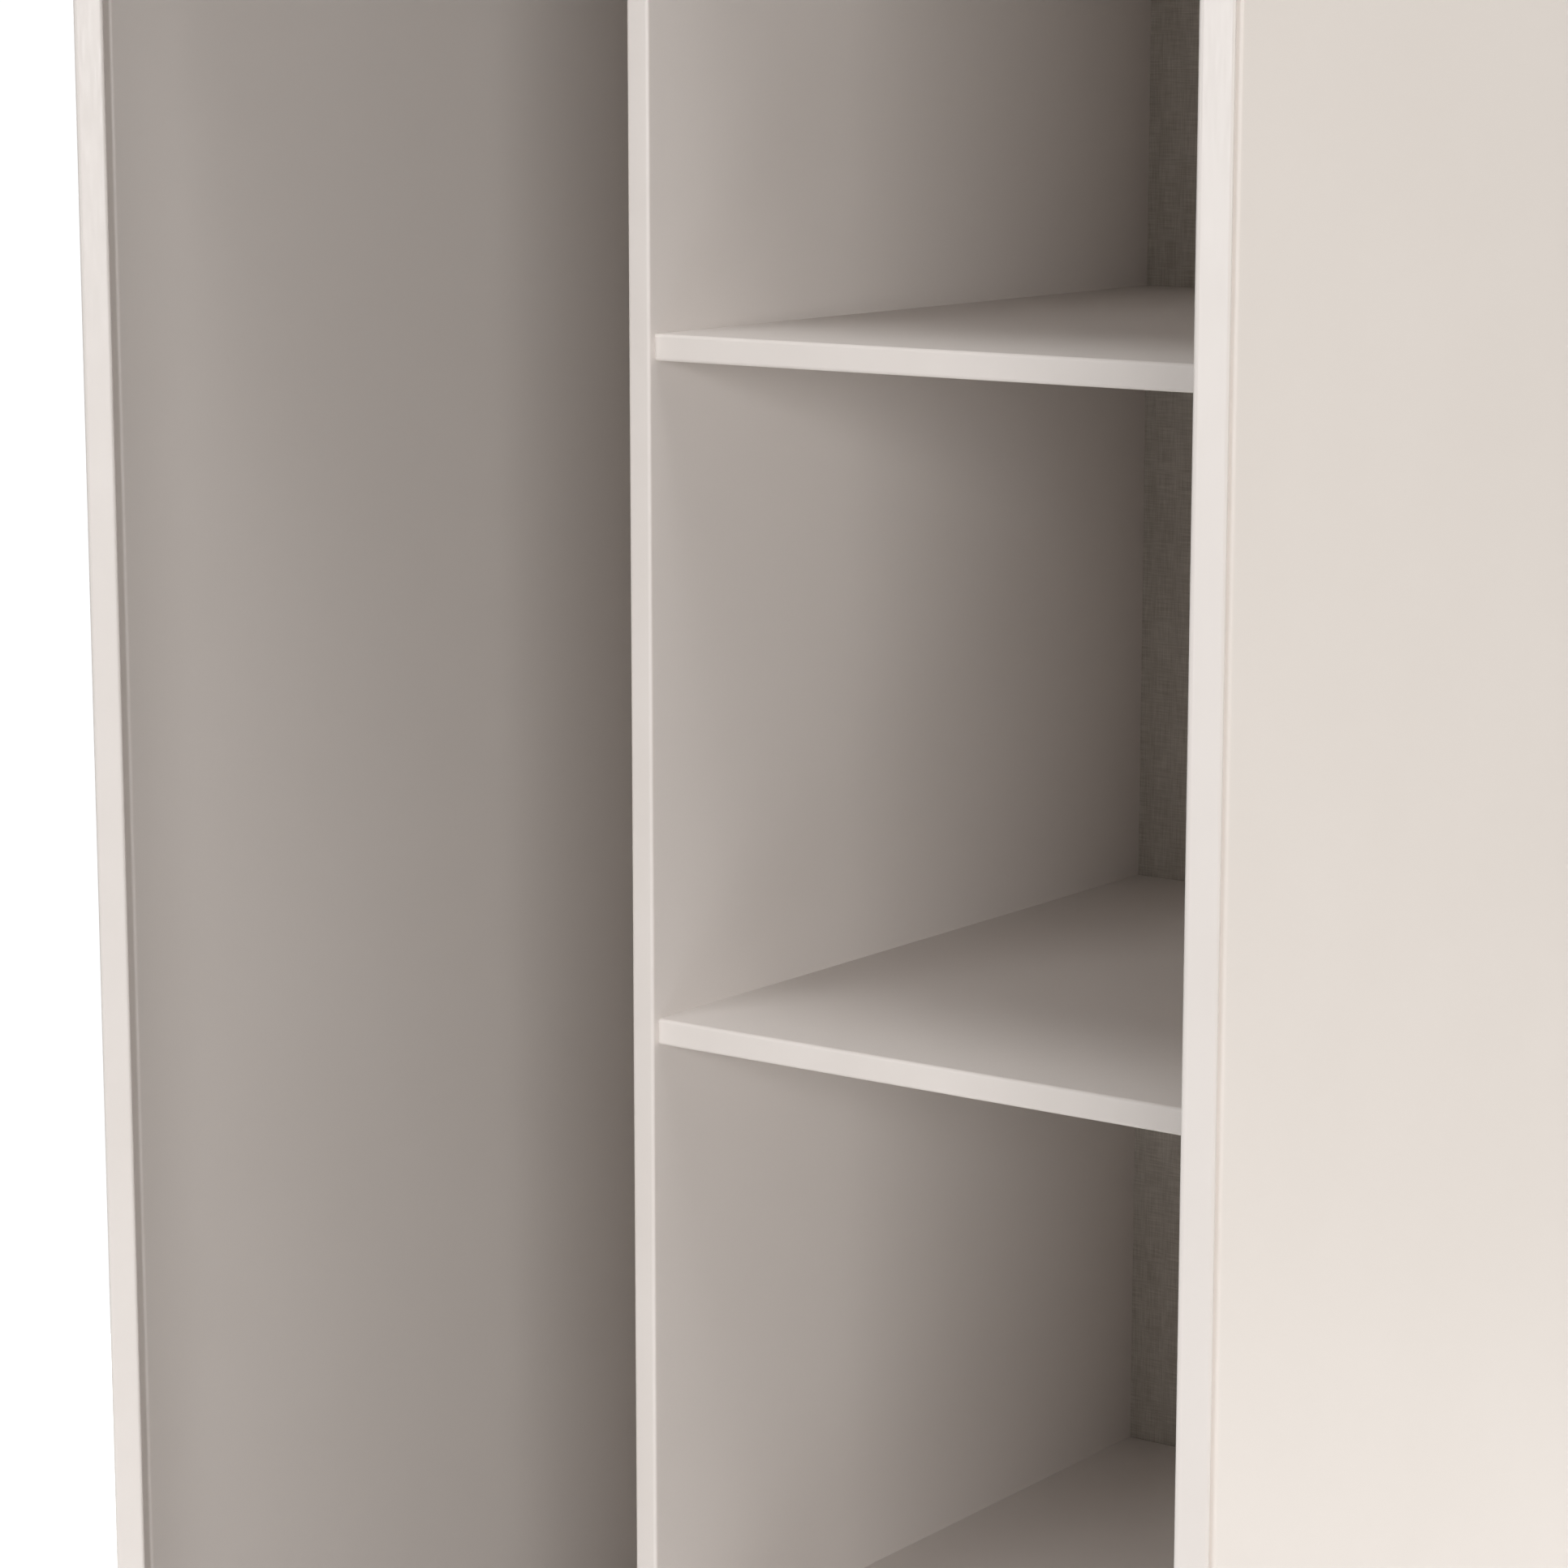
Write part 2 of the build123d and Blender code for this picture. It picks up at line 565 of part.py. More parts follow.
top_bands = [
    band((-OUTER, FRONT, CEILING), (OUTER, CORE_FRONT, HEIGHT), -Y),
    band((-OUTER, CORE_FRONT + EDGING_SEAM, CEILING), (EDGING - OUTER, BACK, HEIGHT), -X),
    band((OUTER - EDGING, CORE_FRONT + EDGING_SEAM, CEILING), (OUTER, BACK, HEIGHT), X),
]
with BuildPart() as top_panel_edging:
    add(top_bands)
    for sign in PIVOTS.values():
        low, high = upper_plate_corners(sign)
        with Locations(((low + high) / 2, FRONT, HEIGHT)):
            Box(high - low, EDGING * 2, PIVOT_PLATE, align=TO_BELOW, mode=Mode.SUBTRACT)
save(top_panel_edging, "top_panel_edging")

bottom_panel = board("bottom_panel", (-INNER, CORE_FRONT, PLINTH_HEIGHT), (INNER, BACK, FLOOR_TOP))
save(bottom_panel, "bottom_panel")
bottom_band = band((-INNER, FRONT, PLINTH_HEIGHT), (INNER, CORE_FRONT, FLOOR_TOP), -Y)
save(strips([bottom_band], "bottom_panel_edging"), "bottom_panel_edging")

for name, row in PLINTH_ROWS.items():
    low, high = (-INNER, row - BOARD / 2, GLIDE_HEIGHT), (INNER, row + BOARD / 2, PLINTH_HEIGHT)
    save(board(name, low, high), name)

for name, (left, right, top) in SHELF_SPANS.items():
    save(board(name, (left, SHELF_FRONT + EDGING, top - BOARD), (right, SHELF_BACK, top)), name)
shelf_bands = [
    band((left, SHELF_FRONT, top - BOARD), (right, SHELF_FRONT + EDGING, top), -Y)
    for left, right, top in SHELF_SPANS.values()
]
save(strips(shelf_bands, "shelf_edging"), "shelf_edging")

for name, (left, right) in BACK_SPANS.items():
    save(board(name, (left, BACK, BACK_BOTTOM), (right, REAR, BACK_TOP)), name)

# ================================================================ joining hardware
CAM_SLOT = 1.4
CAM_SLOT_LENGTH = 9.0
CAM_SLOT_DEPTH = 1.8
CAM_CUT_PAST_AXIS = 2.0
BOLT_SHANK = (3.0, 18.0)
BOLT_NECK = (2.0, 3.0)
BOLT_HEAD = (3.2, 3.5)
with BuildPart() as cam_lock:
    Cylinder(CAM_RADIUS, CAM_HEIGHT, align=TO_BELOW)
    with BuildSketch(Plane.XY):
        Rectangle(CAM_SLOT_LENGTH, CAM_SLOT)
        Rectangle(CAM_SLOT, CAM_SLOT_LENGTH)
    extrude(amount=-CAM_SLOT_DEPTH, mode=Mode.SUBTRACT)
    with Locations(Plane(origin=(CAM_RADIUS, 0, -BOARD / 2), z_dir=(1, 0, 0))):
        Cylinder(BOLT_HOLE_RADIUS, CAM_RADIUS + CAM_CUT_PAST_AXIS, align=TO_BELOW, mode=Mode.SUBTRACT)
save(copies(cam_lock.part, CAMS), "cam_locks")

with BuildPart() as cam_bolt:
    Cylinder(BOLT_THREAD_RADIUS, BOLT_THREAD_LENGTH, align=TO_ABOVE)
    depth = 0.0
    for radius, length in (BOLT_SHANK, BOLT_NECK, BOLT_HEAD):
        with Locations((0, 0, -depth)):
            Cylinder(radius, length, align=TO_BELOW)
        depth += length
save(copies(cam_bolt.part, BOLTS), "cam_bolts")

with BuildPart() as dowel:
    with Locations((0, 0, DOWEL_IN_FACE)):
        Cylinder(DOWEL_RADIUS, DOWEL_IN_FACE + DOWEL_IN_EDGE, align=TO_BELOW)
    chamfer(dowel.edges().filter_by(GeomType.CIRCLE), DOWEL_CHAMFER)
save(copies(dowel.part, DOWELS), "dowels")

with BuildPart() as confirmat:
    Cylinder(CONFIRMAT_HEAD_RADIUS, CONFIRMAT_HEAD, align=TO_BELOW)
    Cylinder(CONFIRMAT_RADIUS, CONFIRMAT_LENGTH, align=TO_BELOW)
    with BuildSketch(Plane.XY):
        RegularPolygon(CONFIRMAT_HEX, 6)
    extrude(amount=-CONFIRMAT_HEX_DEPTH, mode=Mode.SUBTRACT)
save(copies(confirmat.part, CONFIRMATS), "divider_screws")

with BuildPart() as back_nail:
    Cylinder(NAIL_HEAD_RADIUS, NAIL_HEAD, align=TO_BELOW)
    Cylinder(NAIL_RADIUS, NAIL_LENGTH, align=TO_BELOW)
save(copies(back_nail.part, NAILS), "back_nails")

with BuildPart() as glide:
    Cylinder(GLIDE_RADIUS, GLIDE_HEIGHT, align=TO_BELOW)
    Cylinder(GLIDE_SPIKE_RADIUS, GLIDE_SPIKE, align=TO_ABOVE)
    fillet(glide.faces().sort_by(Axis.Z)[0].edges(), GLIDE_ROUNDING)
save(copies(glide.part, [facing(foot, Z) for _, foot in GLIDES]), "floor_glides")

with BuildPart() as centre_foot:
    Cylinder(FOOT_PAD_RADIUS, FOOT_PAD, align=TO_ABOVE)
    fillet(centre_foot.edges().filter_by(GeomType.CIRCLE), FOOT_ROUNDING)
    Cylinder(FOOT_COLUMN_RADIUS, PLINTH_HEIGHT, align=TO_ABOVE)
    with Locations((0, 0, PLINTH_HEIGHT)):
        Cylinder(FOOT_FLANGE_RADIUS, FOOT_FLANGE, align=TO_BELOW)
    for plane in FOOT_SCREWS:
        countersink(plane.origin, -Z)
save(centre_foot, "centre_foot")
save(copies(small_screw(), FOOT_SCREWS), "centre_foot_screws")

# ================================================================ rail and its sockets
SOCKET_CLEARANCE = 0.25
with BuildPart() as hanging_rail:
    with BuildSketch(Plane.YZ.offset(-INNER + SOCKET_PLATE + SOCKET_CLEARANCE)):
        with Locations((RAIL_Y, RAIL_Z)):
            SlotOverall(RAIL_LENGTHWAYS, RAIL_ACROSS, rotation=90)
            SlotOverall(RAIL_LENGTHWAYS - 2 * RAIL_WALL, RAIL_ACROSS - 2 * RAIL_WALL, rotation=90,
                        mode=Mode.SUBTRACT)
    extrude(amount=INNER + DIVIDER_LEFT - 2 * (SOCKET_PLATE + SOCKET_CLEARANCE))
save(hanging_rail, "hanging_rail")

for name, face, outward in (("rail_socket_left", -INNER, X), ("rail_socket_right", DIVIDER_LEFT, -X)):
    seat = facing(Vector(face, RAIL_Y, RAIL_Z), outward, Y)
    cup_length, cup_width = (size + 2 * SOCKET_CLEARANCE for size in (RAIL_LENGTHWAYS, RAIL_ACROSS))
    with BuildPart() as rail_socket:
        with BuildSketch(seat):
            SlotOverall(SOCKET_HEIGHT, SOCKET_WIDTH, rotation=90)
        extrude(amount=SOCKET_PLATE)
        with BuildSketch(seat.offset(SOCKET_PLATE)):
            SlotOverall(cup_length + 2 * SOCKET_WALL, cup_width + 2 * SOCKET_WALL, rotation=90)
            SlotOverall(cup_length, cup_width, rotation=90, mode=Mode.SUBTRACT)
        extrude(amount=SOCKET_CUP)
        cup_rim = rail_socket.faces().filter_by(Plane.YZ).sort_by(Axis((0, 0, 0), outward))[-1]
        fillet(cup_rim.outer_wire().edges(), SOCKET_ROUNDING)
        for plane in SOCKET_SCREWS:
            if plane.origin.X * outward.X == (face + outward.X * SOCKET_PLATE) * outward.X:
                countersink(plane.origin, outward)
    save(rail_socket, name)
save(copies(small_screw(), SOCKET_SCREWS), "rail_socket_screws")

# ================================================================ wall brackets
for name, x in zip(("wall_bracket_left", "wall_bracket_right"), WALL_HOLE_X):
    with BuildPart() as wall_bracket:
        with BuildSketch(Plane.YZ.offset(x - BRACKET_WIDTH / 2)):
            with BuildLine():
                Polyline(
                    (BACK, CEILING), (BACK - BRACKET_LEG, CEILING),
                    (BACK - BRACKET_LEG, CEILING - BRACKET), (BACK - BRACKET, CEILING - BRACKET),
                    (BACK - BRACKET, CEILING - BRACKET_DROP), (BACK, CEILING - BRACKET_DROP), close=True,
                )
            make_face()
        extrude(amount=BRACKET_WIDTH)
        leg_ends = wall_bracket.edges().filter_by(Axis.Z).group_by(Axis.Y)[0]
        drop_ends = wall_bracket.edges().filter_by(Axis.Y).group_by(Axis.Z)[0]
        fillet(leg_ends + drop_ends, BRACKET_CORNER)
        with Locations(facing(Vector(x, BACK, WALL_HOLE_Z), Y)):
            Cylinder(WALL_HOLE_RADIUS, BRACKET, align=TO_BELOW, mode=Mode.SUBTRACT)
        for plane in BRACKET_SCREWS:
            if abs(plane.origin.X - x) < BRACKET_WIDTH:
                countersink(plane.origin, -Z)
    save(wall_bracket, name)
save(copies(small_screw(), BRACKET_SCREWS), "wall_bracket_screws")

# ================================================================ door pivots
for hand, sign in PIVOTS.items():
    save(upper_pivot(sign), f"upper_pivot_{hand}")
    save(lower_pivot(sign), f"lower_pivot_{hand}")
save(copies(small_screw(), PIVOT_SCREWS), "pivot_screws")

PIN_IN_BUSH = 13.0
with BuildPart() as pivot_pins:
    for sign in PIVOTS.values():
        for start, height in (
            (PLINTH_HEIGHT - PIVOT_PLATE, PIVOT_PLATE + DOOR_BOTTOM - PLINTH_HEIGHT + PIN_IN_BUSH),
            (DOOR_TOP - PIN_IN_BUSH, HEIGHT - DOOR_TOP + PIN_IN_BUSH),
        ):
            with Locations((sign * PIVOT_X, PIVOT_Y, start)):
                Cylinder(PIN_RADIUS, height, align=TO_ABOVE)
save(pivot_pins, "pivot_pins")

with BuildPart() as thrust_washers:
    for sign in PIVOTS.values():
        with BuildSketch(Plane.XY.offset(PLINTH_HEIGHT)):
            with Locations((sign * PIVOT_X, PIVOT_Y)):
                Circle(BUSH_FLANGE_RADIUS)
                Circle(PIN_RADIUS + WASHER_PLAY, mode=Mode.SUBTRACT)
        extrude(amount=WASHER)
save(thrust_washers, "thrust_washers")

# ================================================================ push latches
LATCH_ROUNDING = 3.0
BORE_LENGTH = LATCH_LENGTH - 10.0
PLUNGER_LENGTH = 40.0
PLUNGER_ROUNDING = 1.5
GUIDE_RADIUS = 1.5
GUIDE_LENGTH = 14.0
SPRING_WIRE = 0.4
SPRING_RADIUS = 2.7
SPRING_PITCH = 2.4
SPRING_FRONT_GAP = 0.5
SPRING_BACK_GAP = 0.2
SPRING_FRONT = PLUNGER_TIP + PLUNGER_LENGTH + LATCH_TRAVEL + SPRING_FRONT_GAP + SPRING_WIRE
SPRING_BACK = LATCH_FRONT + BORE_LENGTH - SPRING_BACK_GAP - SPRING_WIRE

for hand, x in LATCH_X.items():
    mouth = facing(Vector(x, LATCH_FRONT, LATCH_Z), -Y, X)
    with BuildPart() as latch_body:
        with BuildSketch(mouth):
            Rectangle(LATCH_WIDTH, LATCH_HEIGHT)
        extrude(amount=-LATCH_LENGTH)
        lower_edges = latch_body.edges().filter_by(Axis.Y).group_by(Axis.Z)[0]
        fillet(lower_edges, LATCH_ROUNDING)
        with BuildSketch(Plane.XY.offset(CEILING - LATCH_EAR)):
            with Locations(*[(x, row) for row in LATCH_EAR_ROWS]):
                SlotOverall(LATCH_WIDTH + 2 * LATCH_EAR_REACH, LATCH_EAR_WIDTH)
        extrude(amount=LATCH_EAR)
        with Locations(mouth):
            Cylinder(PLUNGER_RADIUS + PLUNGER_CLEARANCE, BORE_LENGTH, align=TO_BELOW, mode=Mode.SUBTRACT)
        for plane in LATCH_SCREWS:
            if abs(plane.origin.X - x) < LATCH_WIDTH:
                countersink(plane.origin, -Z)
    save(latch_body, f"{hand}_latch_body")

    tip = facing(Vector(x, PLUNGER_TIP, LATCH_Z), -Y, X)
    with BuildPart() as plunger:
        with Locations(tip):
            Cylinder(PLUNGER_RADIUS, PLUNGER_LENGTH, align=TO_BELOW)
        fillet(plunger.edges().filter_by(GeomType.CIRCLE).sort_by(Axis.Y)[0], PLUNGER_ROUNDING)
        with Locations(tip.offset(-PLUNGER_LENGTH)):
            Cylinder(GUIDE_RADIUS, GUIDE_LENGTH, align=TO_BELOW)
    save(plunger, f"{hand}_latch_plunger")

with BuildPart() as latch_springs:
    for x in LATCH_X.values():
        with BuildLine():
            wire = Helix(SPRING_PITCH, SPRING_BACK - SPRING_FRONT, SPRING_RADIUS,
                         center=(x, SPRING_FRONT, LATCH_Z), direction=(0, 1, 0))
        with BuildSketch(Plane(origin=wire @ 0, z_dir=wire % 0)):
            Circle(SPRING_WIRE)
        sweep(path=wire, is_frenet=True)
save(latch_springs, "latch_springs")
save(copies(small_screw(), LATCH_SCREWS), "latch_screws")

# ================================================================ doors
SHIFT = EDGING - BOARD / 2
for hand in PIVOTS:
    plane = DOOR_PLANES[hand]
    inward = plane.y_dir * INWARD[hand]
    name = f"{hand}_door"
    core_low, core_high = DOOR_BOTTOM + EDGING, DOOR_TOP - EDGING
    save(board(name, (SHIFT, -BOARD / 2, core_low), (DOOR_REACH - EDGING, BOARD / 2, core_high), plane), name)

    seam_in, seam_out = SHIFT + EDGING_SEAM, DOOR_REACH - EDGING - EDGING_SEAM
    door_bands = [
        band((-BOARD / 2, -BOARD / 2, DOOR_BOTTOM), (SHIFT, BOARD / 2, DOOR_TOP), -plane.x_dir, plane),
        band((DOOR_REACH - EDGING, -BOARD / 2, DOOR_BOTTOM), (DOOR_REACH, BOARD / 2, DOOR_TOP),
             plane.x_dir, plane),
        band((seam_in, -BOARD / 2, DOOR_BOTTOM), (seam_out, BOARD / 2, core_low), -Z, plane),
        band((seam_in, -BOARD / 2, core_high), (seam_out, BOARD / 2, DOOR_TOP), Z, plane),
    ]
    save(strips(door_bands, f"{name}_edging"), f"{name}_edging")

    with BuildPart() as door_bushes:
        for height, outward in ((DOOR_BOTTOM, -Z), (DOOR_TOP, Z)):
            with Locations(facing(in_door(hand, 0, 0, height), outward)):
                Cylinder(BUSH_RADIUS, BUSH_LENGTH, align=TO_BELOW)
                Cylinder(BUSH_FLANGE_RADIUS, BUSH_FLANGE, align=TO_ABOVE)
            with Locations(facing(in_door(hand, 0, 0, height) + outward * BUSH_FLANGE, outward)):
                Cylinder(PIN_RADIUS + BUSH_CLEARANCE, BUSH_LENGTH + BUSH_FLANGE, align=TO_BELOW,
                         mode=Mode.SUBTRACT)
    save(door_bushes, f"{hand}_door_bushes")

    with BuildPart() as strike_plate:
        with Locations(strike_place(hand)):
            Cylinder(STRIKE_RADIUS, STRIKE_THICKNESS, align=TO_ABOVE)
            Cylinder(STUD_RADIUS, STUD_LENGTH, align=TO_BELOW)
        rim = strike_plate.faces().sort_by(Axis((0, 0, 0), inward))[-1].edges()
        fillet(rim, STRIKE_ROUNDING)
    save(strike_plate, f"{hand}_strike_plate")

    with BuildPart() as bumper:
        Cylinder(BUMPER_RADIUS, BUMPER_HEIGHT, align=TO_ABOVE)
        fillet(bumper.faces().sort_by(Axis.Z)[-1].edges(), BUMPER_ROUNDING)
    places = [inner_face(hand, BUMPER_REACH, height) for height in BUMPER_HEIGHTS]
    save(copies(bumper.part, places), f"{hand}_door_bumpers")
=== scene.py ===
"""Looks of the two-door wardrobe: finishes, floor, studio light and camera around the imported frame.

Metres, +Z up, in the frame of the CAD: the origin is on the floor in the middle of the carcass, +X is
to the right of someone facing the doors and +Y points to the back.
"""

import json
from math import cos, pi, radians, sin

import bpy
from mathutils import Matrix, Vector


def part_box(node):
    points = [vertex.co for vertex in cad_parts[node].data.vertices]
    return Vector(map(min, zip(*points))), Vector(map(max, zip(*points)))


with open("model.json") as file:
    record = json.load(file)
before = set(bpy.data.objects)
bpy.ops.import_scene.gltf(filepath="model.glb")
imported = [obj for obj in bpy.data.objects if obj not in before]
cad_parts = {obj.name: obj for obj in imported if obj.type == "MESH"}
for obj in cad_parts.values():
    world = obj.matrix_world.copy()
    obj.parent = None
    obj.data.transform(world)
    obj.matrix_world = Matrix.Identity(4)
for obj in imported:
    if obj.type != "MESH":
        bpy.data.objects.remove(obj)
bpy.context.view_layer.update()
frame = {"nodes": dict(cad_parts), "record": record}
nodes = frame["nodes"]

MM = 0.001

# ---------------------------------------------------------------- colours
WHITE = (1.0, 1.0, 1.0)
MELAMINE = (0.772, 0.727, 0.693)
MELAMINE_SHADE = (0.752, 0.706, 0.670)
BAND = (0.780, 0.733, 0.697)
BAND_SHADE = (0.760, 0.712, 0.674)
CHIP_LIGHT = (0.560, 0.420, 0.270)
CHIP_DARK = (0.270, 0.170, 0.090)
LINEN_LIGHT = (0.745, 0.712, 0.656)
LINEN_DARK = (0.520, 0.488, 0.437)
FIBRE_LIGHT = (0.400, 0.275, 0.175)
FIBRE_DARK = (0.270, 0.170, 0.100)
BEECH_LIGHT = (0.660, 0.460, 0.280)
BEECH_DARK = (0.480, 0.300, 0.160)
SILICONE_LIGHT = (0.930, 0.930, 0.920)
SILICONE_DARK = (0.840, 0.840, 0.820)
FLOOR_LIGHT = (0.870, 0.870, 0.870)
FLOOR_SHADE = (0.830, 0.830, 0.830)

# ---------------------------------------------------------------- node helpers
FACE_LIMIT = 0.7
MIX_FIRST, MIX_SECOND, MIX_COLOUR = 6, 7, 2
EVERY_WAY = (1.0, 1.0, 1.0)


class Finish:
    """A material's node tree, with a short call for each kind of node that the finishes use."""

    def __init__(self, name):
        self.material = bpy.data.materials.new(name)
        self.material.use_nodes = True
        self.tree = self.material.node_tree
        self.surface = self.tree.nodes["Principled BSDF"]
        coordinates = self.tree.nodes.new("ShaderNodeTexCoord")
        self.place = coordinates.outputs["Object"]
        self.normal = coordinates.outputs["Normal"]

    def set(self, **values):
        """Give the surface a value, or link an output to it, by input name with _ for spaces."""
        for name, value in values.items():
            self.feed(self.surface.inputs[name.replace("_", " ")], value)

    def feed(self, socket, value):
        """Link an output to a socket, or set the socket to a number, colour or vector."""
        if isinstance(value, bpy.types.NodeSocket):
            self.tree.links.new(value, socket)
        elif isinstance(value, tuple) and socket.type == "RGBA":
            socket.default_value = (*value, 1.0)
        else:
            socket.default_value = value

    def stretched(self, scale):
        """The object's own coordinates, scaled per axis: a pattern runs along an axis scaled below 1."""
        mapping = self.tree.nodes.new("ShaderNodeMapping")
        self.feed(mapping.inputs["Vector"], self.place)
        mapping.inputs["Scale"].default_value = scale
        return mapping.outputs["Vector"]

    def noise(self, size, detail=2.0, along=None, distortion=0.0):
        """Cloudy noise whose blobs are about size metres, stretched by a scale per axis if given."""
        made = self.tree.nodes.new("ShaderNodeTexNoise")
        self.feed(made.inputs["Vector"], self.stretched(along) if along else self.place)
        made.inputs["Scale"].default_value = 1.0 / size
        made.inputs["Detail"].default_value = detail
        made.inputs["Distortion"].default_value = distortion
        return made.outputs["Fac"]

    def cells(self, size, along):
        """A random number for each cell of a Voronoi pattern whose cells are about size metres."""
        made = self.tree.nodes.new("ShaderNodeTexVoronoi")
        self.feed(made.inputs["Vector"], self.stretched(along))
        made.inputs["Scale"].default_value = 1.0 / size
        channels = self.tree.nodes.new("ShaderNodeSeparateColor")
        self.feed(channels.inputs["Color"], made.outputs["Color"])
        return channels.outputs["Red"]

    def math(self, operation, first, second=0.0):
        """One sum on two numbers, each an output or a constant."""
        made = self.tree.nodes.new("ShaderNodeMath")
        made.operation = operation
        self.feed(made.inputs[0], first)
        self.feed(made.inputs[1], second)
        return made.outputs["Value"]

    def mingled(self, first, second, first_share):
        """Add two outputs, the first times its share and the second times the rest."""
        return self.math("ADD", self.math("MULTIPLY", first, first_share),
                         self.math("MULTIPLY", second, 1.0 - first_share))

    def ranged(self, factor, low, high, start=0.3, end=0.7):
        """Carry a factor between start and end over to numbers between low and high."""
        made = self.tree.nodes.new("ShaderNodeMapRange")
        self.feed(made.inputs["Value"], factor)
        for name, value in (("From Min", start), ("From Max", end), ("To Min", low), ("To Max", high)):
            made.inputs[name].default_value = value
        return made.outputs["Result"]

    def blend(self, factor, first, second):
        """Mix two colours, each an output or a constant, by a factor."""
        made = self.tree.nodes.new("ShaderNodeMix")
        made.data_type = "RGBA"
        self.feed(made.inputs["Factor"], factor)
        self.feed(made.inputs[MIX_FIRST], first)
        self.feed(made.inputs[MIX_SECOND], second)
        return made.outputs[MIX_COLOUR]

    def tinted(self, factor, dark, light, **limits):
        """A colour from dark to light as a factor goes through its range."""
        return self.blend(self.ranged(factor, 0.0, 1.0, **limits), dark, light)

    def along_axis(self, axis):
        """How far the surface looks along an axis: 1 straight along it, -1 straight against it."""
        made = self.tree.nodes.new("ShaderNodeVectorMath")
        made.operation = "DOT_PRODUCT"
        self.feed(made.inputs[0], self.normal)
        made.inputs[1].default_value = axis
        return made.outputs["Value"]

    def facing(self, axis):
        """1 where the surface looks along an axis, either way, and 0 elsewhere."""
        return self.math("GREATER_THAN", self.math("ABSOLUTE", self.along_axis(axis)), FACE_LIMIT)

    def looking(self, axis):
        """1 where the surface looks along an axis, that way only."""
        return self.math("GREATER_THAN", self.along_axis(axis), FACE_LIMIT)

    def relief(self, height, depth, strength):
        """Raise the surface by a height pattern that is depth metres from low to high."""
        made = self.tree.nodes.new("ShaderNodeBump")
        made.inputs["Strength"].default_value = strength
        made.inputs["Distance"].default_value = depth
        self.feed(made.inputs["Height"], height)
        self.set(Normal=made.outputs["Normal"])


# ---------------------------------------------------------------- particleboard faced with melamine
FLAKE = 2.2 * MM
FLAKE_STRETCH = (1.0, 1.0, 2.2)
SPECK = 0.9 * MM
CLOUD = 120 * MM
PEARL = 0.8 * MM
PEARL_HEIGHT = 0.12
RAW_ROUGHNESS = 0.86
FACE_SMOOTHNESS = (0.33, 0.43)


def chips(finish):
    """The cut edge of particleboard: flakes of wood pressed together. Returns colour and height."""
    flakes = finish.cells(FLAKE, FLAKE_STRETCH)
    specks = finish.noise(SPECK, detail=4.0)
    factor = finish.math("MULTIPLY", finish.math("ADD", flakes, specks), 0.5)
    return finish.tinted(factor, CHIP_DARK, CHIP_LIGHT, start=0.2, end=0.8), factor


def melamine(name, axis):
    """Matt melamine on particleboard: the faces across an axis are melamine, the edges are raw."""
    finish = Finish(name)
    cloud = finish.noise(CLOUD, detail=3.0)
    pearl = finish.noise(PEARL, detail=3.0)
    face = finish.tinted(finish.mingled(cloud, pearl, first_share=0.5), MELAMINE_SHADE, MELAMINE)
    raw, flakes = chips(finish)
    on_face = finish.facing(axis)
    smoother = finish.math("MULTIPLY", on_face, finish.ranged(pearl, *FACE_SMOOTHNESS))
    finish.set(
        Base_Color=finish.blend(on_face, raw, face),
        Roughness=finish.math("SUBTRACT", RAW_ROUGHNESS, smoother),
        Specular_IOR_Level=0.42,
    )
    rough_edge = finish.math("MULTIPLY", flakes, finish.math("SUBTRACT", 1.0, on_face))
    height = finish.math("ADD", finish.math("MULTIPLY", pearl, PEARL_HEIGHT), rough_edge)
    finish.relief(height, depth=0.25 * MM, strength=0.55)
    return finish.material


# ---------------------------------------------------------------- edge band
BAND_CLOUD = 60 * MM
BAND_GRAIN = 0.5 * MM
ROLLER_MARK = 1.2 * MM
MARKS_UPRIGHT = (1.0, 1.0, 0.08)


def edge_band(name):
    """Satin ABS edging: a shade smoother and glossier than the faces, with fine roller marks."""
    finish = Finish(name)
    cloud = finish.noise(BAND_CLOUD)
    grain = finish.noise(BAND_GRAIN)
    marks = finish.noise(ROLLER_MARK, detail=3.0, along=MARKS_UPRIGHT)
    finish.set(
        Base_Color=finish.tinted(cloud, BAND_SHADE, BAND),
        Roughness=finish.ranged(marks, 0.34, 0.46),
        Specular_IOR_Level=0.5,
    )
    finish.relief(finish.math("ADD", grain, marks), depth=0.02 * MM, strength=0.5)
    return finish.material


# ---------------------------------------------------------------- back panel
THREAD = 0.75 * MM
WARP = (1.0, 1.0, 0.045)
WEFT = (0.045, 1.0, 1.0)
SLUB = 9 * MM
SLUB_STRETCH = (1.0, 1.0, 0.25)
SLUB_SHARE = 0.25
FUZZ = 1.6 * MM
PATCH = 90 * MM
TO_THE_FRONT = (0.0, -1.0, 0.0)
FIBRE_ROUGHNESS = 0.82
LINEN_SMOOTHNESS = 0.22


